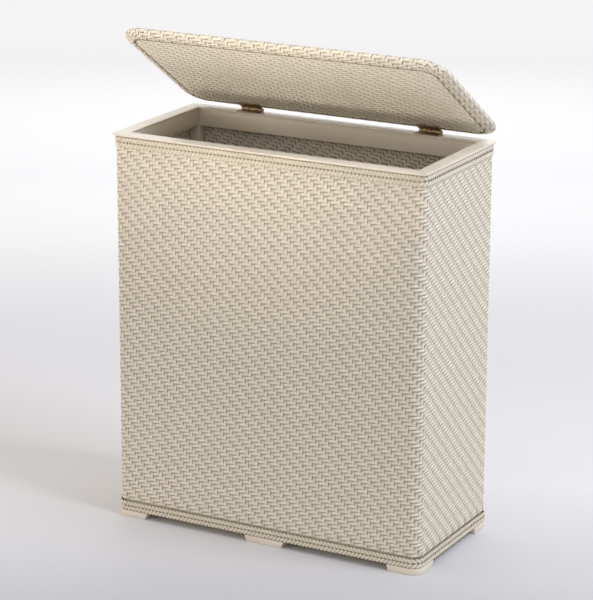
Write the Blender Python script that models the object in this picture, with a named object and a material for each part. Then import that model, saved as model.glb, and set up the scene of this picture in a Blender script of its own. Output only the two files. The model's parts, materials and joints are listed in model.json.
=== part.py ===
"""Upright woven laundry hamper with a hinged lid, modelled at real size in metres.

The origin is on the floor under the middle of the body, +Z is up and -Y is the front.
The body is a wooden frame in a woven wrap. The lid is a board in a woven skin, and it
swings on two butt hinges along the back of the rim. It is shown part open.
"""

import math

import bmesh
import bpy
from mathutils import Matrix, Vector

MM = 0.001
GAP = 0.3 * MM                       # clearance between pieces that touch

# Body
BODY_WIDTH = 518 * MM                # outside of the weave
BODY_DEPTH = 238 * MM
CORNER_RADIUS = 15 * MM
WEAVE_THICKNESS = 3 * MM
WEAVE_BOTTOM = 27 * MM
FOOT_HEIGHT = 10 * MM
RIM_BOTTOM = 604 * MM
RIM_THICKNESS = 3 * MM
RIM_OVERHANG = 3 * MM                # beyond the weave
RIM_WIDTH = 23 * MM
RIM_EASING = 0.8 * MM                # rounding of the rim's edges
RIM_CORNER_RADIUS = 10 * MM          # tighter than the weave's, so the corners overhang more
RIM_INNER_RADIUS = 5 * MM
TOP_RAIL_HEIGHT = 26 * MM
BOTTOM_RAIL_HEIGHT = 40 * MM
BOTTOM_BOARD_THICKNESS = 4 * MM
UPPER_BRAID_HEIGHT = 17 * MM
UPPER_BRAID_THICKNESS = 1.6 * MM
BASE_BRAID_TOP = 25.5 * MM
BASE_BRAID_OVERHANG = 2.3 * MM
ARC_STEPS = 6                        # straight edges in a quarter turn

# Feet
FOOT_OVERHANG = 2 * MM
FOOT_DEPTH = 18 * MM
CORNER_FOOT_ALONG_FRONT = 54 * MM
CORNER_FOOT_ALONG_SIDE = 50 * MM
MIDDLE_FOOT_LENGTH = 67 * MM
FOOT_END_SLANT = 3.5 * MM

# Hinges
HINGE_LENGTH = 38 * MM
HINGE_OFFSET = 153 * MM              # each hinge's middle from the middle of the hamper
HINGE_Y = 117 * MM
LEAF_DEPTH = 18 * MM
LEAF_THICKNESS = 1.4 * MM
BARREL_RADIUS = 2.2 * MM
PIN_RADIUS = 0.8 * MM
PIN_OVERRUN = 0.8 * MM
NOTCH_GAP = 0.36 * MM                # a little more than GAP, as the notch's sides are flat
KNUCKLES = 5
SCREW_SPACING = 20 * MM
SCREW_FROM_PIN = 13 * MM
SCREW_LENGTH = 12.5 * MM
SHANK_RADIUS = 1.2 * MM
HEAD_RADIUS = 2.3 * MM
HEAD_DOME = 0.5 * MM
ROUND_STEPS = 12

# Lid, in its closed place
LID_CREASE_HALF_WIDTH = 251 * MM     # where the flat underside meets the rounded edge
LID_CREASE_FRONT = -124.5 * MM
LID_CREASE_BACK = 109 * MM
LID_CREASE_RADIUS = 24 * MM
LID_EDGE = 16 * MM                   # how far the rounded edge stands out
LID_BACK_EDGE = 12 * MM
LID_THICKNESS = 16 * MM
LID_SKIN = 2.5 * MM
LID_EDGE_STEPS = 8
BEAD_RADIUS = 1.0 * MM
LID_OPEN_ANGLE = math.radians(33.6)

HINGE_Z = RIM_BOTTOM + RIM_THICKNESS + GAP + BARREL_RADIUS
LID_UNDERSIDE = HINGE_Z + BARREL_RADIUS + GAP


def clear_scene():
    for item in list(bpy.data.objects):
        bpy.data.objects.remove(item, do_unlink=True)


def make_material(name, colour, roughness, metallic=0.0):
    material = bpy.data.materials.new(name)
    material.use_nodes = True
    shader = material.node_tree.nodes["Principled BSDF"]
    shader.inputs["Base Color"].default_value = (*colour, 1.0)
    shader.inputs["Roughness"].default_value = roughness
    shader.inputs["Metallic"].default_value = metallic
    return material


def add_object(name, bm, material):
    """Turn a finished bmesh into a linked object."""
    bmesh.ops.recalc_face_normals(bm, faces=bm.faces)
    mesh = bpy.data.meshes.new(name)
    bm.to_mesh(mesh)
    bm.free()
    mesh.materials.append(material)
    piece = bpy.data.objects.new(name, mesh)
    bpy.context.scene.collection.objects.link(piece)
    return piece


def shade_round(piece, angle=math.radians(35)):
    piece.data.shade_smooth()
    piece.data.set_sharp_from_angle(angle=angle)


def cut(piece, cutter):
    """Subtract a cutter object, which stays as a hidden guide."""
    cutter.hide_render = True
    cutter.display_type = "WIRE"
    step = piece.modifiers.new(cutter.name, "BOOLEAN")
    step.operation = "DIFFERENCE"
    step.object = cutter


# Outlines

def arc(centre, radius, start, end, steps=ARC_STEPS):
    """Points along an arc, angles in degrees."""
    turns = [math.radians(start + (end - start) * i / steps) for i in range(steps + 1)]
    return [(centre[0] + radius * math.cos(t), centre[1] + radius * math.sin(t)) for t in turns]


def rounded_rectangle(left, right, front, back, radius):
    return (arc((right - radius, front + radius), radius, -90, 0)
            + arc((right - radius, back - radius), radius, 0, 90)
            + arc((left + radius, back - radius), radius, 90, 180)
            + arc((left + radius, front + radius), radius, 180, 270))


def body_outline(offset):
    """The body's rounded rectangle, moved out from the weave's face by an offset."""
    half_width = BODY_WIDTH / 2 + offset
    half_depth = BODY_DEPTH / 2 + offset
    return rounded_rectangle(-half_width, half_width, -half_depth, half_depth,
                             CORNER_RADIUS + offset)


# Solids

def prism(name, outline, bottom, top, material):
    bm = bmesh.new()
    face = bm.faces.new([bm.verts.new((x, y, bottom)) for x, y in outline])
    grown = bmesh.ops.extrude_face_region(bm, geom=[face])
    risen = [item for item in grown["geom"] if isinstance(item, bmesh.types.BMVert)]
    bmesh.ops.translate(bm, verts=risen, vec=(0, 0, top - bottom))
    return add_object(name, bm, material)


def bridge(bm, first, second):
    count = len(first)
    for i in range(count):
        j = (i + 1) % count
        bm.faces.new((first[i], first[j], second[j], second[i]))


def loft(loops, closed_round=False):
    """Join outlines at given heights: capped at both ends, or round into a ring."""
    bm = bmesh.new()
    rows = [[bm.verts.new((x, y, z)) for x, y in outline] for outline, z in loops]
    for first, second in zip(rows, rows[1:]):
        bridge(bm, first, second)
    if closed_round:
        bridge(bm, rows[-1], rows[0])
    else:
        bm.faces.new(rows[0])
        bm.faces.new(rows[-1])
    bmesh.ops.recalc_face_normals(bm, faces=bm.faces)
    return bm


def wall(name, outer, inner, bottom, top, material):
    """An upright wall that runs all the way round."""
    loops = [(outer, bottom), (outer, top), (inner, top), (inner, bottom)]
    return add_object(name, loft(loops, closed_round=True), material)


def box(name, low, high, material, easing=0.0):
    bm = bmesh.new()
    bmesh.ops.create_cube(bm, size=1.0)
    size = Vector(high) - Vector(low)
    bmesh.ops.scale(bm, verts=bm.verts, vec=size)
    bmesh.ops.translate(bm, verts=bm.verts, vec=Vector(low) + size / 2)
    piece = add_object(name, bm, material)
    if easing:
        bevel = piece.modifiers.new("eased_edges", "BEVEL")
        bevel.width = easing
        bevel.segments = 1
    return piece


def turned(bm, profile, centre, steps=ROUND_STEPS):
    """A round body about +Z from (radius, height) pairs that start and end on the axis."""
    points = [bm.verts.new((radius, 0, height)) for radius, height in profile]
    edges = [bm.edges.new(pair) for pair in zip(points, points[1:])]
    bmesh.ops.spin(bm, geom=points + edges, cent=(0, 0, 0), axis=(0, 0, 1),
                   angle=2 * math.pi, steps=steps, use_merge=True)
    bmesh.ops.remove_doubles(bm, verts=bm.verts, dist=1e-6)
    bmesh.ops.translate(bm, verts=bm.verts, vec=centre)


def round_bar(name, radius, start, length, material, axis="Z"):
    """A cylinder that starts at a point and runs along +X or +Z."""
    bm = bmesh.new()
    bmesh.ops.create_cone(bm, segments=ROUND_STEPS, radius1=radius, radius2=radius,
                          depth=length, cap_ends=True)
    bmesh.ops.translate(bm, verts=bm.verts, vec=(0, 0, length / 2))
    if axis == "X":
        bmesh.ops.rotate(bm, verts=bm.verts, matrix=Matrix.Rotation(math.pi / 2, 3, "Y"))
    bmesh.ops.translate(bm, verts=bm.verts, vec=start)
    return add_object(name, bm, material)


def keep_side(bm, point, away):
    """Cut off what lies beyond a plane and close the cut."""
    everything = bm.verts[:] + bm.edges[:] + bm.faces[:]
    bmesh.ops.bisect_plane(bm, geom=everything, plane_co=point, plane_no=away, clear_outer=True)
    open_edges = [edge for edge in bm.edges if edge.is_boundary]
    if open_edges:
        bmesh.ops.holes_fill(bm, edges=open_edges, sides=0)


# Body

def build_frame(wood):
    """Corner posts with rails between them, and a board under the rails."""
    outer = WEAVE_THICKNESS + GAP
    half_width = BODY_WIDTH / 2 - outer
    half_depth = BODY_DEPTH / 2 - outer
    board_top = FOOT_HEIGHT + GAP + BOTTOM_BOARD_THICKNESS
    bottom = board_top + GAP
    top = RIM_BOTTOM - GAP
    thickness = RIM_WIDTH - RIM_OVERHANG - outer - GAP
    radius = CORNER_RADIUS - outer

    prism("bottom_board", body_outline(-outer), FOOT_HEIGHT + GAP, board_top, wood)

    for depth_name, y_sign in (("front", -1), ("back", 1)):
        for side_name, x_sign in (("left", -1), ("right", 1)):
            corner = arc((half_width - radius, half_depth - radius), radius, 0, 90)
            plan = corner + [(half_width - thickness, half_depth),
                             (half_width - thickness, half_depth - thickness),
                             (half_width, half_depth - thickness)]
            plan = [(x * x_sign, y * y_sign) for x, y in plan]
            post = prism(f"corner_post_{depth_name}_{side_name}", plan, bottom, top, wood)
            shade_round(post)

    reach_x = half_width - thickness - GAP
    reach_y = half_depth - thickness - GAP
    levels = (("top", top - TOP_RAIL_HEIGHT, top), ("bottom", bottom, bottom + BOTTOM_RAIL_HEIGHT))
    for level, low, high in levels:
        for name, sign in (("front", -1), ("back", 1)):
            near, far = sorted((sign * half_depth, sign * (half_depth - thickness)))
            box(f"{level}_rail_{name}", (-reach_x, near, low), (reach_x, far, high), wood)
        for name, sign in (("left", -1), ("right", 1)):
            near, far = sorted((sign * half_width, sign * (half_width - thickness)))
            box(f"{level}_rail_{name}", (near, -reach_y, low), (far, reach_y, high), wood)


def build_weave(weave, braid):
    wrap = wall("woven_wrap", body_outline(0), body_outline(-WEAVE_THICKNESS),
                WEAVE_BOTTOM, RIM_BOTTOM - GAP, weave)
    band_top = RIM_BOTTOM - 2 * GAP
    upper = wall("upper_braid", body_outline(GAP + UPPER_BRAID_THICKNESS), body_outline(GAP),
                 band_top - UPPER_BRAID_HEIGHT, band_top, braid)
    base = wall("base_braid", body_outline(BASE_BRAID_OVERHANG), body_outline(-WEAVE_THICKNESS),
                FOOT_HEIGHT + GAP, BASE_BRAID_TOP, braid)
    for piece in (wrap, upper, base):
        shade_round(piece)


def rim_ring():
    """The whole rim with eased edges, before its corners are mitred."""
    low, high = RIM_BOTTOM, RIM_BOTTOM + RIM_THICKNESS
    outer_half_width = BODY_WIDTH / 2 + RIM_OVERHANG
    outer_half_depth = BODY_DEPTH / 2 + RIM_OVERHANG
    inner_half_width = outer_half_width - RIM_WIDTH
    inner_half_depth = outer_half_depth - RIM_WIDTH

    def outer(offset):
        return rounded_rectangle(-outer_half_width - offset, outer_half_width + offset,
                                 -outer_half_depth - offset, outer_half_depth + offset,
                                 RIM_CORNER_RADIUS + offset)

    def inner(offset):
        return rounded_rectangle(-inner_half_width - offset, inner_half_width + offset,
                                 -inner_half_depth - offset, inner_half_depth + offset,
                                 RIM_INNER_RADIUS + offset)

    return [(outer(-RIM_EASING), low),
            (outer(0), low + RIM_EASING),
            (outer(0), high - RIM_EASING),
            (outer(-RIM_EASING), high),
            (inner(RIM_EASING), high),
            (inner(0), high - RIM_EASING),
            (inner(0), low)]


def build_rim(wood):
    """Four mouldings that meet in mitres at the corners."""
    corner_x = BODY_WIDTH / 2 + RIM_OVERHANG
    corner_y = BODY_DEPTH / 2 + RIM_OVERHANG
    cuts = {"front": ((-1, -1), (1, -1), (0, 1)), "back": ((-1, 1), (1, 1), (0, -1)),
            "left": ((-1, -1), (-1, 1), (1, 0)), "right": ((1, -1), (1, 1), (-1, 0))}
    pieces = {}
    for name, (first, second, inward) in cuts.items():
        bm = loft(rim_ring(), closed_round=True)
        keep_side(bm, (0, 0, 0), (*inward, 0))
        for corner in (first, second):
            away = Vector((corner[0], corner[1] * -1, 0)).normalized()
            if away.dot(Vector((*inward, 0))) < 0:
                away = -away
            on_mitre = Vector((corner[0] * corner_x, corner[1] * corner_y, RIM_BOTTOM))
            keep_side(bm, on_mitre - away * GAP / 2, away)
        pieces[name] = add_object(f"rim_{name}", bm, wood)
        shade_round(pieces[name], math.radians(50))
    return pieces


def build_feet(wood):
    """Six low feet with slanted ends: one at each corner, one mid front, one mid back."""
    half_width = BODY_WIDTH / 2 + FOOT_OVERHANG
    half_depth = BODY_DEPTH / 2 + FOOT_OVERHANG
    radius = CORNER_RADIUS + FOOT_OVERHANG

    def corner_plan(along_x, along_y, x_sign, y_sign):
        plan = arc((half_width - radius, half_depth - radius), radius, 0, 90)
        plan += [(half_width - along_x, half_depth), (half_width - along_x, half_depth - FOOT_DEPTH)]
        plan += [(half_width - FOOT_DEPTH, half_depth - FOOT_DEPTH)]
        plan += [(half_width - FOOT_DEPTH, half_depth - along_y), (half_width, half_depth - along_y)]
        return [(x * x_sign, y * y_sign) for x, y in plan]

    for depth_name, y_sign in (("front", -1), ("back", 1)):
        for side_name, x_sign in (("left", -1), ("right", 1)):
            top = corner_plan(CORNER_FOOT_ALONG_FRONT, CORNER_FOOT_ALONG_SIDE, x_sign, y_sign)
            sole = corner_plan(CORNER_FOOT_ALONG_FRONT - FOOT_END_SLANT,
                               CORNER_FOOT_ALONG_SIDE - FOOT_END_SLANT, x_sign, y_sign)
            foot = add_object(f"foot_{depth_name}_{side_name}",
                              loft([(sole, 0.0), (top, FOOT_HEIGHT)]), wood)
            shade_round(foot)
        near, far = y_sign * half_depth, y_sign * (half_depth - FOOT_DEPTH)
        reach = MIDDLE_FOOT_LENGTH / 2
        loops = []
        for half_length, height in ((reach - FOOT_END_SLANT, 0.0), (reach, FOOT_HEIGHT)):
            loops.append(([(-half_length, near), (half_length, near),
                           (half_length, far), (-half_length, far)], height))
        add_object(f"foot_{depth_name}_middle", loft(loops), wood)


# Hinges. Each leaf is drawn about its pin, with the plate on the far side from +Y.

def leaf_blank(name, side, centre, metal):
    """A plate that rolls into a solid barrel. Side -1 lies under the pin, +1 above it."""
    fade = math.degrees(math.asin((BARREL_RADIUS - LEAF_THICKNESS) / BARREL_RADIUS))
    roll = arc((0, 0), BARREL_RADIUS, -90, 180 + fade, steps=ROUND_STEPS)
    profile = [(-LEAF_DEPTH, -BARREL_RADIUS)] + roll
    profile.append((-LEAF_DEPTH, LEAF_THICKNESS - BARREL_RADIUS))
    bm = bmesh.new()
    face = bm.faces.new([bm.verts.new((-HINGE_LENGTH / 2, y, -side * z)) for y, z in profile])
    grown = bmesh.ops.extrude_face_region(bm, geom=[face])
    moved = [item for item in grown["geom"] if isinstance(item, bmesh.types.BMVert)]
    bmesh.ops.translate(bm, verts=moved, vec=(HINGE_LENGTH, 0, 0))
    bmesh.ops.translate(bm, verts=bm.verts, vec=centre)
    return add_object(name, bm, metal)


def countersink(name, side, centre, metal):
    """The hole for a screw and its sunk head, a clearance wider than the screw."""
    mouth = HEAD_RADIUS + GAP
    hole = SHANK_RADIUS + GAP
    slope = mouth - hole
    profile = [(0, -LEAF_THICKNESS), (hole, -LEAF_THICKNESS), (hole, LEAF_THICKNESS - slope),
               (mouth, LEAF_THICKNESS), (mouth, 2 * LEAF_THICKNESS), (0, 2 * LEAF_THICKNESS)]
    bm = bmesh.new()
    turned(bm, [(radius, -side * height) for radius, height in profile], centre)
    return add_object(name, bm, metal)


def screw(name, side, centre, metal):
    """A countersunk wood screw whose head sits in the leaf, its point into the wood."""
    slope = HEAD_RADIUS - SHANK_RADIUS
    profile = [(0, LEAF_THICKNESS + HEAD_DOME),
               (HEAD_RADIUS * 0.6, LEAF_THICKNESS + HEAD_DOME * 0.7),
               (HEAD_RADIUS, LEAF_THICKNESS),
               (SHANK_RADIUS, LEAF_THICKNESS - slope),
               (SHANK_RADIUS, LEAF_THICKNESS - SCREW_LENGTH + 2 * SHANK_RADIUS),
               (0, LEAF_THICKNESS - SCREW_LENGTH)]
    bm = bmesh.new()
    turned(bm, [(radius, -side * height) for radius, height in profile], centre)
    piece = add_object(name, bm, metal)
    shade_round(piece)
    return piece


def knuckle_span(index):
    length = HINGE_LENGTH / KNUCKLES
    start = -HINGE_LENGTH / 2 + index * length
    return start, start + length


def build_leaf(name, side, pin_centre, metal):
    """A leaf keeps the odd or the even knuckles; notches clear the other leaf's."""
    blank = leaf_blank(name, side, pin_centre, metal)
    clearance = BARREL_RADIUS + NOTCH_GAP
    own = 0 if side < 0 else 1
    for index in range(KNUCKLES):
        if index % 2 == own:
            continue
        start, end = knuckle_span(index)
        low = Vector((start - GAP / 2, -clearance, -clearance)) + pin_centre
        high = Vector((end + GAP / 2, 2 * clearance, clearance)) + pin_centre
        cut(blank, box(f"{name}_notch_{index}", low, high, metal))
    reach = HINGE_LENGTH / 2 + PIN_OVERRUN
    bore = round_bar(f"{name}_bore", PIN_RADIUS + GAP, pin_centre - Vector((reach, 0, 0)),
                     2 * reach, metal, axis="X")
    cut(blank, bore)
    for number, centre in enumerate(screw_centres(side, pin_centre)):
        cut(blank, countersink(f"{name}_hole_{number}", side, centre, metal))
    return blank


def screw_centres(side, pin_centre):
    """Where each screw's axis meets the leaf's mounting face."""
    shift = Vector((SCREW_SPACING / 2, 0, 0))
    middle = pin_centre + Vector((0, -SCREW_FROM_PIN, side * BARREL_RADIUS))
    return [middle - shift, middle + shift]


def drill(targets, side, centres, depth, material, label):
    """Clearance holes for the screws through the pieces that they hold."""
    for number, centre in enumerate(centres):
        low = min(0.0, side * depth)
        start = centre + Vector((0, 0, low))
        hole = round_bar(f"{label}_pilot_{number}", SHANK_RADIUS + GAP, start, depth, material)
        for piece in targets:
            cut(piece, hole)


def build_rim_hinges(metal, screw_metal, wood, rim_back):
    rail = bpy.data.objects["top_rail_back"]
    for name, sign in (("left", -1), ("right", 1)):
        centre = Vector((sign * HINGE_OFFSET, HINGE_Y, HINGE_Z))
        build_leaf(f"hinge_{name}_rim_leaf", -1, centre, metal)
        half = HINGE_LENGTH / 2 + PIN_OVERRUN
        pin = round_bar(f"hinge_{name}_pin", PIN_RADIUS, centre - Vector((half, 0, 0)),
                        2 * half, metal, axis="X")
        shade_round(pin)
        centres = screw_centres(-1, centre)
        for number, place in enumerate(centres):
            screw(f"rim_screw_{name}_{number + 1}", -1, place, screw_metal)
        drill([rim_back, rail], -1, centres, SCREW_LENGTH, wood, f"rim_{name}")


# Lid. It is modelled closed about the hinge pin, then turned open with an empty.

def lid_outline(shrink, swell):
    """The lid's plan at one height of its rounded edge; swell runs from 0 to 1."""
    edge = (LID_EDGE - shrink) * swell
    back = (LID_BACK_EDGE - shrink) * swell
    half_width = LID_CREASE_HALF_WIDTH + edge
    return rounded_rectangle(-half_width, half_width, LID_CREASE_FRONT - edge - HINGE_Y,
                             LID_CREASE_BACK + back - HINGE_Y, LID_CREASE_RADIUS + edge)


def lid_edge_loops(shrink):
    """The rounded edge from the underside's crease, round the outside, to the top."""
    middle = LID_UNDERSIDE - HINGE_Z + LID_THICKNESS / 2
    half = LID_THICKNESS / 2 - shrink
    loops = []
    for i in range(LID_EDGE_STEPS + 1):
        turn = math.pi * i / LID_EDGE_STEPS
        loops.append((lid_outline(shrink, math.sin(turn)), middle - half * math.cos(turn)))
    return loops


def build_lid(wood, weave, braid, metal, screw_metal):
    hinge_line = bpy.data.objects.new("lid_hinge_line", None)
    bpy.context.scene.collection.objects.link(hinge_line)
    hinge_line.location = (0, HINGE_Y, HINGE_Z)
    hinge_line.rotation_euler.x = -LID_OPEN_ANGLE

    before = set(bpy.data.objects)
    underside = LID_UNDERSIDE - HINGE_Z

    board = add_object("lid_board", loft(lid_edge_loops(LID_SKIN + GAP)), wood)
    outside = lid_edge_loops(0)
    inside = lid_edge_loops(LID_SKIN)
    skin = add_object("lid_woven_skin", loft_shell(outside, inside), weave)

    groove = 2 * BEAD_RADIUS + 2 * GAP
    radius = LID_CREASE_RADIUS - groove
    half_width = LID_CREASE_HALF_WIDTH - groove
    front = LID_CREASE_FRONT + groove - HINGE_Y
    back = LID_CREASE_BACK - GAP - HINGE_Y
    panel = prism("lid_underside_panel", rounded_rectangle(-half_width, half_width, front, back, radius),
                  underside, underside + LID_SKIN, weave)
    build_bead(groove, back - radius, underside, braid)

    for name, sign in (("left", -1), ("right", 1)):
        pin_centre = Vector((sign * HINGE_OFFSET, 0, 0))
        build_leaf(f"hinge_{name}_lid_leaf", 1, pin_centre, metal)
        centres = screw_centres(1, pin_centre)
        for number, place in enumerate(centres):
            screw(f"lid_screw_{name}_{number + 1}", 1, place, screw_metal)
        drill([panel, board], 1, centres, SCREW_LENGTH, wood, f"lid_{name}")

    for piece in (board, skin):
        shade_round(piece)
    for piece in set(bpy.data.objects) - before:
        piece.parent = hinge_line


def loft_shell(outside, inside):
    """A shell from two stacks of outlines, open where they start and capped at the end."""
    bm = bmesh.new()
    outer = [[bm.verts.new((x, y, z)) for x, y in outline] for outline, z in outside]
    inner = [[bm.verts.new((x, y, z)) for x, y in outline] for outline, z in inside]
    for rows in (outer, inner):
        for first, second in zip(rows, rows[1:]):
            bridge(bm, first, second)
        bm.faces.new(rows[-1])
    bridge(bm, outer[0], inner[0])
    return bm


def build_bead(groove, back, height, braid):
    """A twine that fills the seam round three sides of the underside."""
    half_width = LID_CREASE_HALF_WIDTH - groove / 2
    front = LID_CREASE_FRONT + groove / 2 - HINGE_Y
    radius = LID_CREASE_RADIUS - groove / 2
    route = [(-half_width, back)]
    route += arc((-half_width + radius, front + radius), radius, 180, 270)
    route += arc((half_width - radius, front + radius), radius, 270, 360)
    route += [(half_width, back)]
    curve = bpy.data.curves.new("lid_bead", "CURVE")
    curve.dimensions = "3D"
    curve.bevel_depth = BEAD_RADIUS
    curve.bevel_resolution = 1
    curve.use_fill_caps = True
    spline = curve.splines.new("POLY")
    spline.points.add(len(route) - 1)
    for point, (x, y) in zip(spline.points, route):
        point.co = (x, y, height, 1.0)
    curve.materials.append(braid)
    bead = bpy.data.objects.new("lid_bead", curve)
    bpy.context.scene.collection.objects.link(bead)


def main():
    clear_scene()
    painted_wood = make_material("painted_wood", (0.68, 0.63, 0.53), 0.42)
    woven_strand = make_material("woven_strand", (0.56, 0.51, 0.39), 0.6)
    twisted_twine = make_material("twisted_twine", (0.54, 0.49, 0.38), 0.65)
    bronze = make_material("bronze", (0.09, 0.06, 0.035), 0.4, 0.9)
    plated_steel = make_material("plated_steel", (0.55, 0.47, 0.36), 0.3, 1.0)

    build_frame(painted_wood)
    build_weave(woven_strand, twisted_twine)
    rim = build_rim(painted_wood)
    build_feet(painted_wood)
    build_rim_hinges(bronze, plated_steel, painted_wood, rim["back"])
    build_lid(painted_wood, woven_strand, twisted_twine, bronze, plated_steel)


main()
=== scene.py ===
import json
import math

import bmesh
import bpy
from mathutils import Matrix, Vector


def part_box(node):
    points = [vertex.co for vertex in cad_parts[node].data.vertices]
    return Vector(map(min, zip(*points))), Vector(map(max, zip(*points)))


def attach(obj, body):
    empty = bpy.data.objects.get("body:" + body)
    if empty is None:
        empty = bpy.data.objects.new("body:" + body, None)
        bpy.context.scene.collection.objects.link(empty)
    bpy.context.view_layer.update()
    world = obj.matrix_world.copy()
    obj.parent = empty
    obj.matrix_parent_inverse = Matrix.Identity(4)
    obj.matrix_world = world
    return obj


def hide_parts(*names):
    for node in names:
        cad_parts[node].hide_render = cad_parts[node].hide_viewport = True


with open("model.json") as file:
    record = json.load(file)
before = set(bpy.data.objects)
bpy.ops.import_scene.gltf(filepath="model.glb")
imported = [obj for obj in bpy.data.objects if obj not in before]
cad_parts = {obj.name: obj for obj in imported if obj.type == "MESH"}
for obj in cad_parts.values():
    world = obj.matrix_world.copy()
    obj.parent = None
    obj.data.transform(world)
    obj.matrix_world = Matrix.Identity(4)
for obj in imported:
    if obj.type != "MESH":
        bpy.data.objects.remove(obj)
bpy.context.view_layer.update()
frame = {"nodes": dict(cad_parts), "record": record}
mm = 0.001
touching = 0.01 * mm             # vertices closer than this are one


wrapLow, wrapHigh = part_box("woven_wrap")
bandLow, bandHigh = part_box("upper_braid")
baseLow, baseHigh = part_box("base_braid")
joints = frame["record"]["behaviour"]["joints"]
hinge = next(joint for joint in joints if joint["name"] == "lid_hinge")
hingePoint = Vector(hinge["pos_m"])

wrapVerts = [vert.co for vert in frame["nodes"]["woven_wrap"].data.vertices]
body = {
    "halfWidth": wrapHigh[0],
    "halfDepth": wrapHigh[1],
    # from the end of the straight wall to the corner, on the outside of the weave
    "cornerRadius": wrapHigh[0] - max(co.x for co in wrapVerts if co.y > wrapHigh[1] - touching),
}

lid = {
    "openAngle": math.radians(33.6),   # how far open the lid stands in the frame
    "creaseRadius": 24 * mm,
    "seamGroove": 2.6 * mm,
}


def lidToRest(point):
    # lid shapes are drawn closed, about the hinge pin, and turned open here
    turned = Matrix.Rotation(-lid["openAngle"], 3, "X") @ Vector(point)
    return turned + hingePoint


def closedBox(node):
    # a lid node's lowest and highest corners with the lid shut, about the hinge pin
    back = Matrix.Rotation(lid["openAngle"], 3, "X")
    points = [back @ (vert.co - hingePoint) for vert in frame["nodes"][node].data.vertices]
    low = Vector([min(p[k] for p in points) for k in range(3)])
    high = Vector([max(p[k] for p in points) for k in range(3)])
    return low, high


skinLow, skinHigh = closedBox("lid_woven_skin")
panelLow, panelHigh = closedBox("lid_underside_panel")
lid["creaseHalfWidth"] = panelHigh[0] + lid["seamGroove"]
lid["creaseFront"] = panelLow[1] - lid["seamGroove"]
lid["creaseBack"] = panelHigh[1]
lid["edge"] = skinHigh[0] - lid["creaseHalfWidth"]
lid["backEdge"] = skinHigh[1] - lid["creaseBack"]
lid["bottom"] = skinLow[2]
lid["thickness"] = skinHigh[2] - skinLow[2]


camera = {
    "place": (1.8322, -3.3786, 1.5052),
    "turn": 28.61,               # degrees round from the front
    "dip": 16.67,                # degrees below level
    "roll": 0.22,
    "lens": 159.4,
    "sensor": 36,
    "sees": 60,                  # metres
}


def addCamera():
    data = bpy.data.cameras.new("camera")
    data.lens = camera["lens"]
    data.sensor_width = camera["sensor"]
    data.clip_end = camera["sees"]
    eye = bpy.data.objects.new("camera", data)
    turn, dip, roll = (math.radians(camera[key]) for key in ("turn", "dip", "roll"))
    look = Vector((-math.sin(turn) * math.cos(dip), math.cos(turn) * math.cos(dip), -math.sin(dip)))
    side = Vector((math.cos(turn), math.sin(turn), 0))
    up = side.cross(look)
    rolledSide = side * math.cos(roll) + up * math.sin(roll)
    rolledUp = up * math.cos(roll) - side * math.sin(roll)
    turned = Matrix((rolledSide, rolledUp, -look)).transposed().to_4x4()
    eye.matrix_world = Matrix.Translation(camera["place"]) @ turned
    bpy.context.scene.collection.objects.link(eye)
    bpy.context.scene.camera = eye


addCamera()
print("camera placed")


def linear(hexColour):
    parts = [int(hexColour[i:i + 2], 16) / 255 for i in (1, 3, 5)]
    return tuple(p / 12.92 if p <= 0.04045 else ((p + 0.055) / 1.055) ** 2.4 for p in parts) + (1,)


def addNode(tree, kind, settings=None, inputs=None, links=None):
    node = tree.nodes.new(kind)
    for key, value in (settings or {}).items():
        setattr(node, key, value)
    for key, value in (inputs or {}).items():
        node.inputs[key].default_value = value
    for key, source in (links or {}).items():
        tree.links.new(source, node.inputs[key])
    return node


def startMaterial(name, roughness, metallic=0.0, ior=1.5):
    material = bpy.data.materials.new(name)
    material.use_nodes = True
    shader = material.node_tree.nodes["Principled BSDF"]
    shader.inputs["Roughness"].default_value = roughness
    shader.inputs["Metallic"].default_value = metallic
    shader.inputs["IOR"].default_value = ior
    return material, material.node_tree, shader


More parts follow.
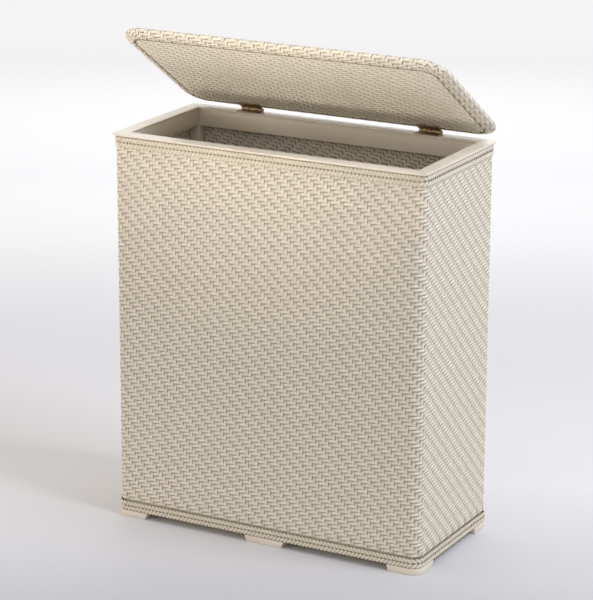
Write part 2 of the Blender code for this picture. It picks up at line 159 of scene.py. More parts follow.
def makeStrandPaint(name, paint, deep):
    # Flat fibre strands under sprayed cream paint: dull, with shade painted darker into the
    # creases between the strands and under the rows, and fine fibre lines along each one.
    # The lines are drawn coarser than real ones, which are too fine to show.
    look = {"lineWidth": 0.5 * mm, "lineLength": 14 * mm, "lineDepth": 0.15 * mm}
    material, tree, shader = startMaterial(name, roughness=0.62, ior=1.46)
    lay = addNode(tree, "ShaderNodeAttribute", {"attribute_name": "lay"})
    tone = addNode(tree, "ShaderNodeAttribute", {"attribute_name": "tone"})
    along = addNode(tree, "ShaderNodeUVMap", {"uv_map": "alongStrand"})
    stretch = addNode(tree, "ShaderNodeMapping", None,
                      {"Scale": (1 / look["lineWidth"], 1 / look["lineLength"], 1)},
                      {"Vector": along.outputs["UV"]})
    fibre = addNode(tree, "ShaderNodeTexNoise", {"noise_dimensions": "2D"},
                    {"Scale": 1.0, "Detail": 3.0, "Roughness": 0.6},
                    {"Vector": stretch.outputs["Vector"]})
    # lay mixes in the deep colour: the painted shade of the weave's creases and row edges
    depth = addNode(tree, "ShaderNodeMapRange", None,
                    {"From Min": 0.0, "From Max": 0.5, "To Min": 0.0, "To Max": 1.0},
                    {"Value": lay.outputs["Fac"]})
    colour = addNode(tree, "ShaderNodeMix", {"data_type": "RGBA"},
                     {"A": linear(deep), "B": linear(paint)},
                     {"Factor": depth.outputs["Result"]})
    fibreTone = addNode(tree, "ShaderNodeMapRange", None,
                        {"From Min": 0.3, "From Max": 0.7, "To Min": 0.93, "To Max": 1.04},
                        {"Value": fibre.outputs["Fac"]})
    strandTone = addNode(tree, "ShaderNodeMapRange", None,
                         {"From Min": 0.0, "From Max": 1.0, "To Min": 0.95, "To Max": 1.04},
                         {"Value": tone.outputs["Fac"]})
    both = addNode(tree, "ShaderNodeMath", {"operation": "MULTIPLY"}, None,
                   {0: fibreTone.outputs["Result"], 1: strandTone.outputs["Result"]})
    tinted = addNode(tree, "ShaderNodeVectorMath", {"operation": "SCALE"}, None,
                     {0: colour.outputs["Result"], "Scale": both.outputs["Value"]})
    tree.links.new(tinted.outputs["Vector"], shader.inputs["Base Color"])
    bump = addNode(tree, "ShaderNodeBump", None, {"Strength": 0.35, "Distance": look["lineDepth"]},
                   {"Height": fibre.outputs["Fac"]})
    tree.links.new(bump.outputs["Normal"], shader.inputs["Normal"])
    return material


def makeTwinePaint(name, paint, deep):
    # Twisted paper twine under paint: rounder, with shade painted dark into its furrows and a random
    # mottle.
    look = {"patch": 2 * mm, "roughDepth": 0.2 * mm}
    material, tree, shader = startMaterial(name, roughness=0.64, ior=1.46)
    place = addNode(tree, "ShaderNodeTexCoord")
    fibre = addNode(tree, "ShaderNodeTexNoise", None,
                    {"Scale": 1 / look["patch"], "Detail": 4.0, "Roughness": 0.65},
                    {"Vector": place.outputs["Object"]})
    colour = addNode(tree, "ShaderNodeMix", {"data_type": "RGBA"},
                     {"A": linear(deep), "B": linear(paint)})
    ramp = addNode(tree, "ShaderNodeMapRange", None,
                   {"From Min": 0.25, "From Max": 0.5, "To Min": 0.45, "To Max": 1.0},
                   {"Value": fibre.outputs["Fac"]})
    lay = addNode(tree, "ShaderNodeAttribute", {"attribute_name": "lay"})
    # lay adds the painted shade of the furrows to the mottle
    paintShare = addNode(tree, "ShaderNodeMath", {"operation": "MULTIPLY"}, None,
                      {0: ramp.outputs["Result"], 1: lay.outputs["Fac"]})
    tree.links.new(paintShare.outputs["Value"], colour.inputs["Factor"])
    tree.links.new(colour.outputs["Result"], shader.inputs["Base Color"])
    bump = addNode(tree, "ShaderNodeBump", None, {"Strength": 0.5, "Distance": look["roughDepth"]},
                   {"Height": fibre.outputs["Fac"]})
    tree.links.new(bump.outputs["Normal"], shader.inputs["Normal"])
    return material


def makeWoodPaint():
    # Hardwood under satin cream paint: smooth, with the grain just telegraphing through.
    look = {
        "paint": "#E2D9CA",
        "worn": "#D3C7B2",
        "grainWidth": 1.6 * mm,
        "grainLength": 60 * mm,
        "grainDepth": 0.1 * mm,
        "patchesPerMetre": 9.0,
    }
    material, tree, shader = startMaterial("satin painted hardwood", roughness=0.38)
    place = addNode(tree, "ShaderNodeTexCoord")
    stretch = addNode(tree, "ShaderNodeMapping", None,
                      {"Scale": (1 / look["grainLength"], 1 / look["grainWidth"],
                                 1 / look["grainWidth"])},
                      {"Vector": place.outputs["Object"]})
    grain = addNode(tree, "ShaderNodeTexNoise", None, {"Scale": 1.0, "Detail": 5.0, "Roughness": 0.55},
                    {"Vector": stretch.outputs["Vector"]})
    patch = addNode(tree, "ShaderNodeTexNoise", None, {"Scale": look["patchesPerMetre"], "Detail": 2.0},
                    {"Vector": place.outputs["Object"]})
    ramp = addNode(tree, "ShaderNodeMapRange", None,
                   {"From Min": 0.35, "From Max": 0.6, "To Min": 0.35, "To Max": 1.0},
                   {"Value": patch.outputs["Fac"]})
    colour = addNode(tree, "ShaderNodeMix", {"data_type": "RGBA"},
                     {"A": linear(look["worn"]), "B": linear(look["paint"])},
                     {"Factor": ramp.outputs["Result"]})
    tree.links.new(colour.outputs["Result"], shader.inputs["Base Color"])
    sheen = addNode(tree, "ShaderNodeMapRange", None,
                    {"From Min": 0.3, "From Max": 0.7, "To Min": 0.33, "To Max": 0.46},
                    {"Value": grain.outputs["Fac"]})
    tree.links.new(sheen.outputs["Result"], shader.inputs["Roughness"])
    bump = addNode(tree, "ShaderNodeBump", None, {"Strength": 0.25, "Distance": look["grainDepth"]},
                   {"Height": grain.outputs["Fac"]})
    tree.links.new(bump.outputs["Normal"], shader.inputs["Normal"])
    return material


def makeBronze():
    # Brass hinge with a dark bronze finish, rubbed brighter in patches.
    look = {"dark": "#9C8870", "rubbed": "#D2BC98", "patch": 4 * mm}
    material, tree, shader = startMaterial("dark bronzed brass", roughness=0.42, metallic=1.0)
    place = addNode(tree, "ShaderNodeTexCoord")
    patch = addNode(tree, "ShaderNodeTexNoise", None,
                    {"Scale": 1 / look["patch"], "Detail": 5.0, "Roughness": 0.7},
                    {"Vector": place.outputs["Object"]})
    ramp = addNode(tree, "ShaderNodeMapRange", None,
                   {"From Min": 0.45, "From Max": 0.75, "To Min": 0.0, "To Max": 1.0},
                   {"Value": patch.outputs["Fac"]})
    colour = addNode(tree, "ShaderNodeMix", {"data_type": "RGBA"},
                     {"A": linear(look["dark"]), "B": linear(look["rubbed"])},
                     {"Factor": ramp.outputs["Result"]})
    tree.links.new(colour.outputs["Result"], shader.inputs["Base Color"])
    return material


def makeScrewPlate():
    # Brass plated steel screws: bright, with a fine unevenness in the plating.
    look = {"plate": "#C9AE84", "grit": 0.35 * mm}
    material, tree, shader = startMaterial("brass plated steel", roughness=0.28, metallic=1.0)
    shader.inputs["Base Color"].default_value = linear(look["plate"])
    place = addNode(tree, "ShaderNodeTexCoord")
    grit = addNode(tree, "ShaderNodeTexNoise", None, {"Scale": 1 / look["grit"], "Detail": 2.0},
                   {"Vector": place.outputs["Object"]})
    sheen = addNode(tree, "ShaderNodeMapRange", None,
                    {"From Min": 0.3, "From Max": 0.7, "To Min": 0.2, "To Max": 0.38},
                    {"Value": grit.outputs["Fac"]})
    tree.links.new(sheen.outputs["Result"], shader.inputs["Roughness"])
    return material


# the second colour of each strand paint is its painted shade colour, for the creases and row edges
strandPaint = makeStrandPaint("spray painted woven fibre", "#E2D9C8", "#877C63")
# the lid's underside gets a paler copy of the strand paint, with paler painted shade,
# lightened to stand in for light that the lamps don't bring to it
litUnderPaint = makeStrandPaint("clean spray painted woven fibre", "#EDE6D5", "#B9AE97")
# its deep colour is the painted shade in the twine's furrows, and the darker side of its mottle
twinePaint = makeTwinePaint("painted twisted twine", "#DED5C2", "#958A6E")
# the bead is coloured dark, so the seam shows as a thin dark line: shade in the seam painted onto the
# bead
seamShadeTwine = makeTwinePaint("bare twisted twine", "#9A8B6E", "#6B5E47")
woodPaint = makeWoodPaint()
bronze = makeBronze()
screwPlate = makeScrewPlate()
print("materials made")


def addPiece(name, mesh, material, rides, slot, node, smoothBelow):
    # node is the one it stands for, and edges under smoothBelow degrees are shaded smooth
    mesh.shade_smooth()
    mesh.set_sharp_from_angle(angle=math.radians(smoothBelow))
    mesh.materials.clear()
    mesh.materials.append(material)
    piece = bpy.data.objects.new(name, mesh)
    bpy.context.scene.collection.objects.link(piece)
    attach(piece, rides)
    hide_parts(node)
    return piece


# A two by two twill: each strand passes over two and under two, stepping one across per row.
# A float is the stretch of a strand that passes over two others. A spacing is the distance
# from one strand to the next.
weave = {
    "columns": 272,              # uprights round the whole body, a multiple of 4
    "rows": 108,                 # rows up the body
    "middle": 1.35 * mm,         # the weave's middle lies this far inside its face
    "behindBraid": 6 * mm,       # how far the uprights run up behind the braid
    "startGap": 0.05,            # where the uprights start, in spacings
    "wide": 0.93,                # strand width as a part of the spacing
    "swing": 0.55 * mm,          # how far a strand moves out or in from the middle
    "crown": 0.16 * mm,
    "bow": 0.16 * mm,            # round a bend, a float stands proudest at its middle
    "tilt": 0.50 * mm,           # a float's edge sinks where another lies beside it
    "strandThickness": 1.1 * mm,
    "floatReach": 0.42,          # how far a float runs past its crossings, in spacings
    "slack": 1e-6,               # so that a float's very ends count as its own
    "bendStep": 0.5,             # spacings between vertices on a bend
    "leastGap": 0.05,            # no float ends closer to a strand's end than this
    "crowding": 0.3,             # a bend's vertex is left out if another is this close
    "wander": 0.16 * mm,         # hand weaving never leaves a strand quite straight
    "wanderRate": 0.55,          # radians of wander in each spacing
    "wanderShift": 40,           # sets each strand's wander apart by its tone
    "patternShift": 7.3,         # sets each strand's fibre lines apart
    "rowTones": 500,             # so that the rows don't repeat the uprights' tones
}

paintedShadeAmounts = {                         # how much shade is painted into the weave's creases and under its rows, 1 being fully dark
    "besideMiddle": 0.55,        # shade painted beside another float, at this one's middle
    "besideFade": 0.9,           # spacings along a float over which that fades
    "rowFoot": 0.75,             # shade painted along each row's lower edge, as if lit from above
    "uprightFrom": 0.5,          # an upright is painted darker from this far past its float's middle
    "uprightFade": 0.42,
    "uprightEnd": 0.8,
    "seam": 0.35,                # spacings from a seam over which the painted shade of the crease fades out
}


def swingAt(position, phase):
    # +1 on top, -1 underneath, and how far the place is from the middle of its float
    local = (position + phase + 1) % 4 - 2      # 0 is the middle of a float on top
    if abs(local) <= 0.5 + weave["floatReach"] + weave["slack"]:
        return 1.0, local
    if abs(local) >= 1.5 - weave["floatReach"] - weave["slack"]:
        return -1.0, local - math.copysign(2, local)
    return (1 - abs(local)) / (0.5 - weave["floatReach"]), 0.0


def strandStops(start, end, phase, fineSpans):
    # Where a strand needs vertices: the ends of its floats, two places along each stretch
    # underneath, and closer together on bends. Places are in spacings along the strand.
    dive = 0.5 - weave["floatReach"]
    stops = {start, end}
    for turn in range(2 * math.floor((start + phase) / 2), math.ceil(end + phase) + 2, 2):
        steps = [-dive, dive]
        if turn % 4 == 2:
            steps += [0.5, 1.5]
        for step in steps:
            position = turn - phase + step
            if start + weave["leastGap"] < position < end - weave["leastGap"]:
                stops.add(position)
    for low, high, step in fineSpans:
        count = max(1, round((high - low) / step))
        for i in range(count + 1):
            position = low + (high - low) * i / count
            crowded = min(abs(position - stop) for stop in stops) <= weave["crowding"] * step
            if start < position < end and not crowded:
                stops.add(position)
    return sorted(stops)


def clamp(value):
    return min(1.0, max(0.0, value))


def paintedShade(side, local, isRow):
    # 0 where the strand keeps its full paint colour, 1 where painted shade makes it fully dark: between
    # two floats that lie side by side, along each row's lower edge, and where an upright goes in under
    # a row
    beside = clamp(paintedShadeAmounts["besideMiddle"] - side * local / paintedShadeAmounts["besideFade"]) if side else 0.0
    if isRow:
        return max(beside, paintedShadeAmounts["rowFoot"] if side < 0 else 0.0)
    goingIn = clamp((local - paintedShadeAmounts["uprightFrom"]) / paintedShadeAmounts["uprightFade"])
    return max(beside, goingIn * paintedShadeAmounts["uprightEnd"])


def layStrand(bm, layers, stops, phase, across, spacing, acrossSpacing, place, tone, isRow,
              endless=False, seam=False, hand=1):
    # one flat ribbon, three vertices wide and crowned, that swings over and under
    uvLayer, unshadedLayer, toneLayer = layers
    grid = bmesh.ops.create_grid(bm, x_segments=2, y_segments=len(stops) - 1, size=0.5)
    verts = sorted(grid["verts"], key=lambda v: (round(v.co.y, 6), round(v.co.x, 6)))
    half = weave["wide"] * acrossSpacing / 2
    reach = 0.5 + weave["floatReach"]
    wanderHere = 0 if endless else 1    # a strand that meets its own end stays straight
    for index, vert in enumerate(verts):
        row, column = divmod(index, 3)
        side = column - 1
        stop = stops[row]
        swing, local = swingAt(stop, phase)
        valley = max(0.0, -side * hand * local) / reach
        lift = swing * (weave["swing"] - valley * weave["tilt"])
        lift += (1 - side * side) * weave["crown"]
        lift += max(0.0, swing) * weave["bow"] * (1 - (local / reach) ** 2)
        fromEnd = min(stop - stops[0], stops[-1] - stop)
        # near a seam the strands are painted darker, as shade in the crease
        paintShare = min(1.0, fromEnd / paintedShadeAmounts["seam"]) if seam else 1
        # painted shade in the weave's creases, under its rows and at seams
        vert[unshadedLayer] = (1 - paintedShade(side * hand, local, isRow)) * paintShare
        vert[toneLayer] = tone
        turn = weave["wanderRate"] * stop + weave["wanderShift"] * tone
        drift = weave["wander"] * math.sin(turn) * wanderHere
        vert.co = place(stop * spacing, across + drift + side * half, lift)
    faces = {face for vert in verts for face in vert.link_faces}
    order = {vert: index for index, vert in enumerate(verts)}
    for face in faces:
        for loop in face.loops:
            row, column = divmod(order[loop.vert], 3)
            sideways = across * weave["patternShift"] + (column - 1) * half
            loop[uvLayer].uv = (sideways, stops[row] * spacing)


def startWeave():
    bm = bmesh.new()
    # lay carries the painted shade: 1 keeps the paint colour, 0 is fully dark
    layers = (bm.loops.layers.uv.new("alongStrand"), bm.verts.layers.float.new("lay"),
              bm.verts.layers.float.new("tone"))
    return bm, layers


def finishWeave(name, bm, rides, node, material):
    mesh = bpy.data.meshes.new(name)
    bm.to_mesh(mesh)
    bm.free()
    piece = addPiece(name, mesh, material, rides, "woven_strand", node, smoothBelow=75)
    thick = piece.modifiers.new("strand thickness", "SOLIDIFY")
    thick.thickness = weave["strandThickness"]
    thick.offset = 0


def toneOf(index):
    # a steady spread of slight strand to strand differences, by the golden ratio
    return (index * 0.618034) % 1.0


body["straightX"] = 2 * (body["halfWidth"] - body["cornerRadius"])
body["straightY"] = 2 * (body["halfDepth"] - body["cornerRadius"])
body["bend"] = math.pi / 2 * (body["cornerRadius"] - weave["middle"])
roundLength = (4 * (body["halfWidth"] + body["halfDepth"] - 2 * body["cornerRadius"])
               + 2 * math.pi * (body["cornerRadius"] - weave["middle"]))
columnPitch = roundLength / weave["columns"]
rowPitch = (wrapHigh[2] - wrapLow[2]) / weave["rows"]
weaveTop = (bandLow[2] - wrapLow[2] + weave["behindBraid"]) / rowPitch


def outlineAt(distance, offset):
    # the body's rounded outline: a point that far round from the front left, moved out by offset
    radius = body["cornerRadius"] + offset
    straightX, straightY, quarter = (body[key] for key in ("straightX", "straightY", "bend"))
    runs = ((straightX, 0), (quarter, 0), (straightY, 90), (quarter, 90),
            (straightX, 180), (quarter, 180), (straightY, 270), (quarter, 270))
    centres = ((1, -1), (1, 1), (-1, 1), (-1, -1))
    for number, (run, heading) in enumerate(runs):
        if distance <= run or number == len(runs) - 1:
            break
        distance -= run
    sideX, sideY = centres[number // 2]
    centre = Vector((sideX * straightX / 2, sideY * straightY / 2, 0))
    if number % 2:
        turn = math.radians(heading - 90) + distance / quarter * math.pi / 2
        away = Vector((math.cos(turn), math.sin(turn), 0))
        return centre + away * radius
    turn = math.radians(heading)
    ahead = Vector((math.cos(turn), math.sin(turn), 0))
    away = Vector((math.sin(turn), -math.cos(turn), 0))
    return centre - ahead * (run - distance) + away * radius


def placeRow(along, across, lift):
    point = outlineAt(along % roundLength, lift - weave["middle"])
    return (point.x, point.y, wrapLow[2] + across)


def placeUpright(along, across, lift):
    return placeRow(across, along, lift)


def weaveBody():
    # each wall's uprights are one piece, with the corner after it, and the rows are three
    bends, walls, distance = [], [], 0
    for run in (body["straightX"], body["straightY"]) * 2:
        corner = distance + run
        distance += run + body["bend"]
        walls.append(distance)
        bends.append((corner / columnPitch, distance / columnPitch, weave["bendStep"]))

    pieces = {}
    for column in range(weave["columns"]):
        across = (column + 0.5) * columnPitch
        wall = next(i for i, end in enumerate(walls) if across <= end)
        if wall not in pieces:
            pieces[wall] = startWeave()
        bm, layers = pieces[wall]
        phase = column % 4
        stops = strandStops(weave["startGap"], weaveTop, phase, [])
        layStrand(bm, layers, stops, phase, across, rowPitch, columnPitch, placeUpright,
                  toneOf(column), isRow=False)
    for wall, (bm, layers) in pieces.items():
        side = ("front", "right", "back", "left")[wall]
        finishWeave(side + "Uprights", bm, "hamper", "woven_wrap", strandPaint)

    levels = ("lower", "middle", "upper")
    rowsHere = math.floor(weaveTop)
    for number, level in enumerate(levels):
        bm, layers = startWeave()
        for row in range(rowsHere * number // 3, rowsHere * (number + 1) // 3):
            phase = (row + 2) % 4
            stops = strandStops(0.0, float(weave["columns"]), phase, bends)
            across = (row + 0.5) * rowPitch
            layStrand(bm, layers, stops, phase, across, columnPitch, rowPitch, placeRow,
                      toneOf(row + weave["rowTones"]), isRow=True, endless=True)
        bmesh.ops.remove_doubles(bm, verts=bm.verts, dist=touching)
        finishWeave(level + "Rows", bm, "hamper", "woven_wrap", strandPaint)


weaveBody()
print("body woven")


lidWeave = {
    "pitch": 5.45 * mm,
    "inset": 1.25 * mm,          # the weave's middle lies this far inside the lid's face
    "tones": 90,                 # so that the lid doesn't repeat the body's tones
    "edgeStep": 0.34,            # spacings between vertices round the edge
    "edgeMore": 2 * mm,          # how far past the edge they stay that close
    "cornerStep": 0.5,           # and along a strand that never reaches the flat top
    "endStep": 0.35,             # and at the ends of the flat panel's strands
    "endReach": 0.7,
    "halvings": 26,              # how closely a strand's ends are found
}
edgeLength = math.pi * math.sqrt(((lid["edge"] - lidWeave["inset"]) ** 2
                                  + (lid["thickness"] / 2 - lidWeave["inset"]) ** 2) / 2)
edgeTables = {}                  # lengths along the edge's half ellipse, kept for each size


def turnAlongEdge(distance, wide, high):
    # how far round the half ellipse of the edge a given length of sheet reaches
    key = (round(wide, 5), round(high, 5))
    if key not in edgeTables:
        lengths, total, steps = [0.0], 0.0, 60
        for i in range(steps):
            middle = math.pi * (i + 0.5) / steps
            total += math.hypot(wide * math.cos(middle), high * math.sin(middle)) * math.pi / steps
            lengths.append(total)
        edgeTables[key] = lengths
    lengths = edgeTables[key]
    share = min(distance / edgeLength, 1.0) * lengths[-1]
    for i in range(1, len(lengths)):
        if lengths[i] >= share:
            part = (share - lengths[i - 1]) / (lengths[i] - lengths[i - 1])
            return math.pi * (i - 1 + part) / (len(lengths) - 1)
    return math.pi


def lidSheetPoint(x, y, lift):
    # A sheet laid on the lid's top that bends down round its edge and under to the crease.
    # The second value is how far the point lies past the flat top, along the sheet.
    inset = lidWeave["inset"]
    radius = lid["creaseRadius"]
    middleY = (lid["creaseFront"] + lid["creaseBack"]) / 2
    reachX = lid["creaseHalfWidth"] - radius
    reachY = (lid["creaseBack"] - lid["creaseFront"]) / 2 - radius
    coreX = max(-reachX, min(reachX, x))
    coreY = max(-reachY, min(reachY, y - middleY))
    away = Vector((x - coreX, y - middleY - coreY, 0))
    beyond = away.length - radius
    middle = lid["bottom"] + lid["thickness"] / 2
    top = lid["thickness"] / 2 - inset
    if beyond <= 0:
        return Vector((x, y, middle + top + lift)), beyond
    away.normalize()
    rim = Vector((coreX, coreY + middleY, 0)) + away * radius
    edge = lid["edge"] + (lid["backEdge"] - lid["edge"]) * max(0.0, away.y) ** 2 - inset
    turn = turnAlongEdge(beyond, edge, top)
    out = Vector((math.sin(turn) * edge, math.cos(turn) * top))
    facing = Vector((math.sin(turn) / edge, math.cos(turn) / top)).normalized()
    out += facing * lift
    return rim + away * out.x + Vector((0, 0, middle + out.y)), beyond


def crossings(fixed, limit, alongX):
    # the ends of a straight strand on the sheet, no further past the flat top than limit
    middleY = (lid["creaseFront"] + lid["creaseBack"]) / 2
    middle = 0.0 if alongX else middleY
    span = lid["creaseHalfWidth"] + 60 * mm

    def inside(along):
        x, y = (along, fixed) if alongX else (fixed, along)
        return lidSheetPoint(x, y, 0.0)[1] <= limit

    if not inside(middle):
        return None
    ends = []
    for sign in (-1, 1):
        low, high = 0.0, span
        for _ in range(lidWeave["halvings"]):
            half = (low + high) / 2
            if inside(middle + sign * half):
                low = half
            else:
                high = half
        ends.append(middle + sign * low)
    return ends


def weaveSheet(name, node, material, limit, place, fineEdge, bounds, hand):
    # Both sets of strands of one sheet of the lid, up to a limit past its flat top. The
    # twill of hand -1 is the mirror image, for a sheet that is seen from the other side.
    pitch = lidWeave["pitch"]
    halfX, front, back = bounds
    for title, alongX in (("Lengthwise", True), ("Crosswise", False)):
        bm, layers = startWeave()
        low, high = (front, back) if alongX else (-halfX, halfX)
        first = math.ceil(low / pitch - 0.5)
        last = math.floor(high / pitch - 0.5)
        for number in range(first, last + 1):
            across = (number + 0.5) * pitch
            ends = crossings(across, limit, alongX)
            if ends is None or ends[1] - ends[0] < 2 * pitch:
                continue
            shift = (2 if hand > 0 else 3) if alongX else 0
            phase = (hand * number + shift) % 4
            start, end = ends[0] / pitch, ends[1] / pitch
            reach, step = lidWeave["endReach"], lidWeave["endStep"]
            if fineEdge:
                reach, step = (limit + lidWeave["edgeMore"]) / pitch, lidWeave["edgeStep"]
            fine = [(start, start + reach, step), (end - reach, end, step)]
            if fineEdge and crossings(across, 0.0, alongX) is None:
                fine.append((start, end, lidWeave["cornerStep"]))
            stops = strandStops(start, end, phase, fine)
            layStrand(bm, layers, stops, phase, across, pitch, pitch,
                      lambda a, c, lift: place((a, c) if alongX else (c, a), lift),
                      toneOf(number + lidWeave["tones"]), isRow=alongX, seam=True, hand=hand)
        finishWeave(name + title, bm, "lid", node, material)


def placeOnSkin(spot, lift):
    return lidToRest(lidSheetPoint(spot[0], spot[1], lift)[0])


def placeUnder(spot, lift):
    depth = (panelHigh[2] - panelLow[2]) / 2
    return lidToRest((spot[0], spot[1], panelLow[2] + depth - lift))


skinBounds = (lid["creaseHalfWidth"] + edgeLength, lid["creaseFront"] - edgeLength,
              lid["creaseBack"] + edgeLength)
panelBounds = (lid["creaseHalfWidth"], lid["creaseFront"], lid["creaseBack"])
weaveSheet("lidSkin", "lid_woven_skin", strandPaint, edgeLength, placeOnSkin,
           fineEdge=True, bounds=skinBounds, hand=1)
weaveSheet("lidUnderside", "lid_underside_panel", litUnderPaint, -lid["seamGroove"], placeUnder,
           fineEdge=False, bounds=panelBounds, hand=-1)
print("lid woven")


def tube(name, points, radius, capped, roundness):
    curve = bpy.data.curves.new(name, "CURVE")
    curve.dimensions = "3D"
    curve.bevel_depth = radius
    curve.bevel_resolution = roundness
    curve.use_fill_caps = capped
    spline = curve.splines.new("POLY")
    spline.points.add(len(points) - 1)
    for spot, point in zip(spline.points, points):
        spot.co = (*point, 1.0)
    holder = bpy.data.objects.new(name, curve)
    bpy.context.scene.collection.objects.link(holder)
    bpy.context.view_layer.update()
    finished = holder.evaluated_get(bpy.context.evaluated_depsgraph_get())
    mesh = bpy.data.meshes.new_from_object(finished)
    bpy.data.objects.remove(holder)
    bpy.data.curves.remove(curve)
    return mesh


def joinMeshes(name, meshes, move, lay):
    # move gives each point its place, and lay how much painted shade it gets, 1 being none
    bm = bmesh.new()
    for mesh in meshes:
        bm.from_mesh(mesh)
        bpy.data.meshes.remove(mesh)
    unshadedLayer = bm.verts.layers.float.new("lay")
    for vert in bm.verts:
        vert[unshadedLayer] = lay(vert.co)
        vert.co = move(vert.co)
    bmesh.ops.remove_doubles(bm, verts=bm.verts, dist=touching / 2)
    bmesh.ops.recalc_face_normals(bm, faces=bm.faces)
    joined = bpy.data.meshes.new(name)
    bm.to_mesh(joined)
    bm.free()
    return joined


twine = {
    "plies": 2,
    "lay": 12.5 * mm,            # length of one full twist
    "stepsPerTwist": 12,
    "plyRadius": 0.29,           # this and what follows are parts of a cord's width
    "reach": 0.56,               # from a cord's middle to the outside of a ply
    "flatness": 0.40,            # the cords are pressed flat against the wall
    "bareBelow": 0.08,           # below this outward standing a place is painted fully dark, as shade
    "paintedAbove": 0.36,
}


def twistedBand(name, low, high, proud, node):
    # Two cords of opposite twist, one above the other. Each is twisted straight and
    # round, then pressed flat and bent round the body.
    rowHeight = (high - low) / 2
    plyRadius = rowHeight * twine["plyRadius"]
    swing = rowHeight * twine["reach"] - plyRadius
    twists = round(roundLength / twine["lay"])
    count = twists * twine["stepsPerTwist"]
    meshes = []
    for row, hand in ((0, 1), (1, -1)):
        middle = low + rowHeight * (row + 0.5)
        for ply in range(twine["plies"]):
            points = []
            for i in range(count + 1):
                turn = 2 * math.pi * (hand * i / twine["stepsPerTwist"] + ply / twine["plies"])
                points.append((roundLength * i / count, swing * math.cos(turn),
                               middle + swing * math.sin(turn)))
            meshes.append(tube(name, points, plyRadius, capped=False, roundness=1))

    def bend(co):
        spot = outlineAt(co.x % roundLength, proud - (rowHeight / 2 - co.y) * twine["flatness"])
        return (spot.x, spot.y, co.z)

    def lay(co):
        # shade is painted into the furrows between the plies and under each cord, darker the deeper
        # they lie
        height = co.y / rowHeight - twine["bareBelow"]
        return clamp(height / (twine["paintedAbove"] - twine["bareBelow"]))

    mesh = joinMeshes(name, meshes, bend, lay)
    addPiece(name, mesh, twinePaint, "hamper", "twisted_twine", node, smoothBelow=80)


twistedBand("upperTwine", bandLow[2], bandHigh[2], bandHigh[0] - wrapHigh[0], "upper_braid")
twistedBand("baseTwine", baseLow[2], baseHigh[2], baseHigh[0] - wrapHigh[0], "base_braid")
print("twine bands laid")


easing = {                       # how wide the eased edges are
    "wood": 0.8 * mm,
    "lidBoard": 0.1 * mm,
    "hinge": 0.2 * mm,
    "screw": 0.1 * mm,
    "flatBelow": 1.5,            # degrees: faces that turn less than this are one
    "sharpAbove": 30,            # edges that turn more than this are eased
    "boardSharpAbove": 60,
}


def easeNode(node, material, slot, width, limit=easing["sharpAbove"], rides="hamper"):
    # the frame's own shape with eased edges
    bm = bmesh.new()
    bm.from_mesh(frame["nodes"][node].data)
    bmesh.ops.remove_doubles(bm, verts=bm.verts, dist=touching)
    bmesh.ops.dissolve_limit(bm, angle_limit=math.radians(easing["flatBelow"]), verts=bm.verts,
                             edges=bm.edges)
    sharp = [edge for edge in bm.edges
             if edge.is_manifold and edge.calc_face_angle(0) > math.radians(limit)]
    bmesh.ops.bevel(bm, geom=sharp, offset=width, affect="EDGES", segments=2,
                    profile=0.5, material=-1, clamp_overlap=True)
    name = "".join(word.capitalize() for word in node.split("_"))
    mesh = bpy.data.meshes.new(name[0].lower() + name[1:])
    bm.to_mesh(mesh)
    bm.free()
    addPiece(mesh.name, mesh, material, rides, slot, node, smoothBelow=40)


slotOf = {row["node"]: row["material_slot"] for row in frame["record"]["subparts"]}
for nodeName in frame["record"]["behaviour"]["bodies"]["hamper"]:
    if slotOf[nodeName] in ("painted_wood", "board"):
        easeNode(nodeName, woodPaint, slotOf[nodeName], easing["wood"])
easeNode("lid_board", woodPaint, "board", easing["lidBoard"],
         limit=easing["boardSharpAbove"], rides="lid")
for riding, nodeNames in frame["record"]["behaviour"]["bodies"].items():
    for nodeName in nodeNames:
        if slotOf[nodeName] == "bronze":
            easeNode(nodeName, bronze, "bronze", easing["hinge"], rides=riding)
        elif slotOf[nodeName] == "plated_steel":
            easeNode(nodeName, screwPlate, "plated_steel", easing["screw"], rides=riding)


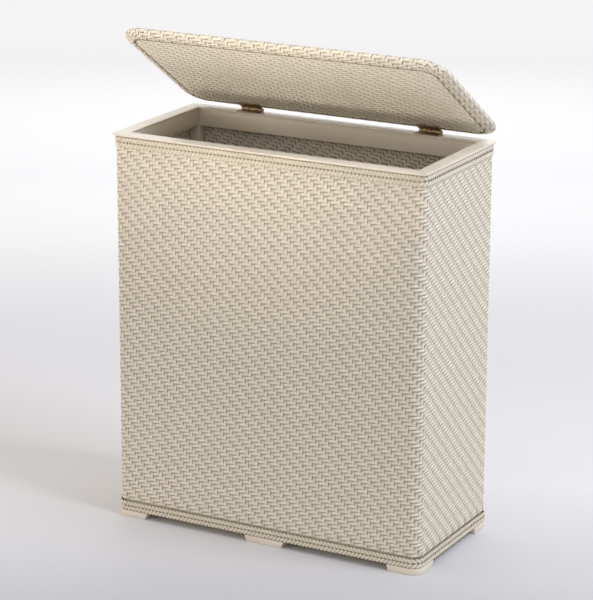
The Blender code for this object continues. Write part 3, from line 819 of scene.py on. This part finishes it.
def twineBead():
    # a two ply twine in the seam round three sides of the lid's underside
    look = {
        "plies": 2,
        "plyRadius": 0.5 * mm,
        "swing": 0.42 * mm,
        "lay": 5 * mm,
        "stepsPerTwist": 6,
        "inGroove": 0.72,        # the bead lies against the panel and leaves a dark line
    }
    groove = lid["seamGroove"] * look["inGroove"]
    halfWidth = lid["creaseHalfWidth"] - groove
    front = lid["creaseFront"] + groove
    radius = lid["creaseRadius"] - groove
    back = lid["creaseBack"] - lid["creaseRadius"]
    side = back - front - radius
    quarter = math.pi / 2 * radius
    across = 2 * (halfWidth - radius)
    total = 2 * side + 2 * quarter + across

    def along(distance):
        # a point of the route and the direction out from the lid's middle
        if distance > total / 2:
            point, away = along(total - distance)
            return Vector((-point.x, point.y, 0)), Vector((-away.x, away.y, 0))
        if distance < side:
            return Vector((-halfWidth, back - distance, 0)), Vector((-1, 0, 0))
        distance -= side
        if distance < quarter:
            turn = math.pi + distance / radius
            away = Vector((math.cos(turn), math.sin(turn), 0))
            return Vector((radius - halfWidth, front + radius, 0)) + away * radius, away
        distance -= quarter
        return Vector((radius - halfWidth + distance, front, 0)), Vector((0, -1, 0))

    count = round(total / look["lay"]) * look["stepsPerTwist"]
    meshes = []
    for ply in range(look["plies"]):
        points = []
        for i in range(count + 1):
            turn = 2 * math.pi * (i / look["stepsPerTwist"] + ply / look["plies"])
            point, away = along(total * i / count)
            point = point + away * look["swing"] * math.cos(turn)
            point.z = panelLow[2] + look["plyRadius"] + look["swing"] * math.sin(turn)
            points.append(lidToRest(point))
        meshes.append(tube("lidBead", points, look["plyRadius"], capped=True, roundness=0))
    mesh = joinMeshes("lidBead", meshes, lambda co: co, lambda co: 1.0)
    addPiece("lidBead", mesh, seamShadeTwine, "lid", "twisted_twine", "lid_bead", smoothBelow=80)


twineBead()
print("wood, hinges and trim finished")


stageLook = {
    # how pale the floor is painted at each distance behind the hamper, in metres along the view;
    # the tones stand in for how the studio light falls across the floor
    "tones": ((-0.35, "#C1C0C3"), (0.15, "#E4E2E4"), (0.75, "#DCDADC"), (1.2, "#DEDDDF"),
              (1.65, "#DEDEDF"), (2.2, "#D4D3D5"), (4.0, "#F3F2F4")),
    "roughness": 0.9,
    "glowFrom": 0.9,
    "glowBy": 2.2,
    "glow": 0.25,                # the far floor glows, standing in for light from behind
    "glowColour": "#FFFDFF",
    "floorSize": 30,
    "world": "#FBFAF8",
    "worldStrength": 0.72,
}


def addStage():
    material, tree, shader = startMaterial("plain studio floor", stageLook["roughness"])
    place = addNode(tree, "ShaderNodeTexCoord")
    turned = addNode(tree, "ShaderNodeMapping", None,
                     {"Rotation": (0, 0, math.radians(-camera["turn"]))},
                     {"Vector": place.outputs["Object"]})
    parts = addNode(tree, "ShaderNodeSeparateXYZ", None, None, {0: turned.outputs["Vector"]})
    first, last = stageLook["tones"][0][0], stageLook["tones"][-1][0]
    share = addNode(tree, "ShaderNodeMapRange", None, {"From Min": first, "From Max": last},
                    {"Value": parts.outputs["Y"]})
    ramp = addNode(tree, "ShaderNodeValToRGB", None, None, {"Fac": share.outputs["Result"]})
    stops = ramp.color_ramp.elements
    for number, (distance, tone) in enumerate(stageLook["tones"]):
        position = (distance - first) / (last - first)
        if number == 0:
            stop = stops[0]
        elif position == 1:
            stop = stops[-1]
        else:
            stop = stops.new(position)
        stop.color = linear(tone)
    tree.links.new(ramp.outputs["Color"], shader.inputs["Base Color"])
    glow = addNode(tree, "ShaderNodeMapRange", {"interpolation_type": "SMOOTHSTEP"},
                   {"From Min": stageLook["glowFrom"], "From Max": stageLook["glowBy"],
                    "To Max": stageLook["glow"]}, {"Value": parts.outputs["Y"]})
    tree.links.new(glow.outputs["Result"], shader.inputs["Emission Strength"])
    shader.inputs["Emission Color"].default_value = linear(stageLook["glowColour"])
    bm = bmesh.new()
    bmesh.ops.create_grid(bm, x_segments=1, y_segments=1, size=stageLook["floorSize"])
    mesh = bpy.data.meshes.new("floor")
    bm.to_mesh(mesh)
    bm.free()
    mesh.materials.append(material)
    floor = bpy.data.objects.new("floor", mesh)
    bpy.context.scene.collection.objects.link(floor)


def addLight(name, place, aim, size, power, colour, spread=180):
    data = bpy.data.lights.new(name, "AREA")
    data.spread = math.radians(spread)
    data.shape = "RECTANGLE"
    data.size, data.size_y = size
    data.energy = power
    data.color = linear(colour)[:3]
    lamp = bpy.data.objects.new(name, data)
    lamp.location = place
    direction = Vector(aim) - Vector(place)
    lamp.rotation_euler = direction.to_track_quat("-Z", "Y").to_euler()
    lamp.visible_camera = False
    bpy.context.scene.collection.objects.link(lamp)


addStage()
addLight("rightWindow", (2.3, -0.1, 2.7), (0, 0, 0.35), (1.4, 1.4), 66, "#E9F0FF")
addLight("lowLeftFill", (-2.7, -2.2, 0.9), (0, 0, 0.5), (1.6, 1.2), 26, "#FFEFD8")
addLight("lidSpot", (-0.5, -2.3, 0.25), (0, 0, 0.86), (0.3, 0.2), 0.76, "#FFF4E6", spread=25)
addLight("backLeftBox", (-1.5, 2.7, 1.5), (0, 0, 0.6), (1.8, 1.0), 14, "#FFFFFF")

world = bpy.data.worlds.new("studio")
world.use_nodes = True
background = world.node_tree.nodes["Background"]
background.inputs["Color"].default_value = linear(stageLook["world"])
background.inputs["Strength"].default_value = stageLook["worldStrength"]
bpy.context.scene.world = world
bpy.context.scene.view_settings.view_transform = "Standard"
print("stage lit")
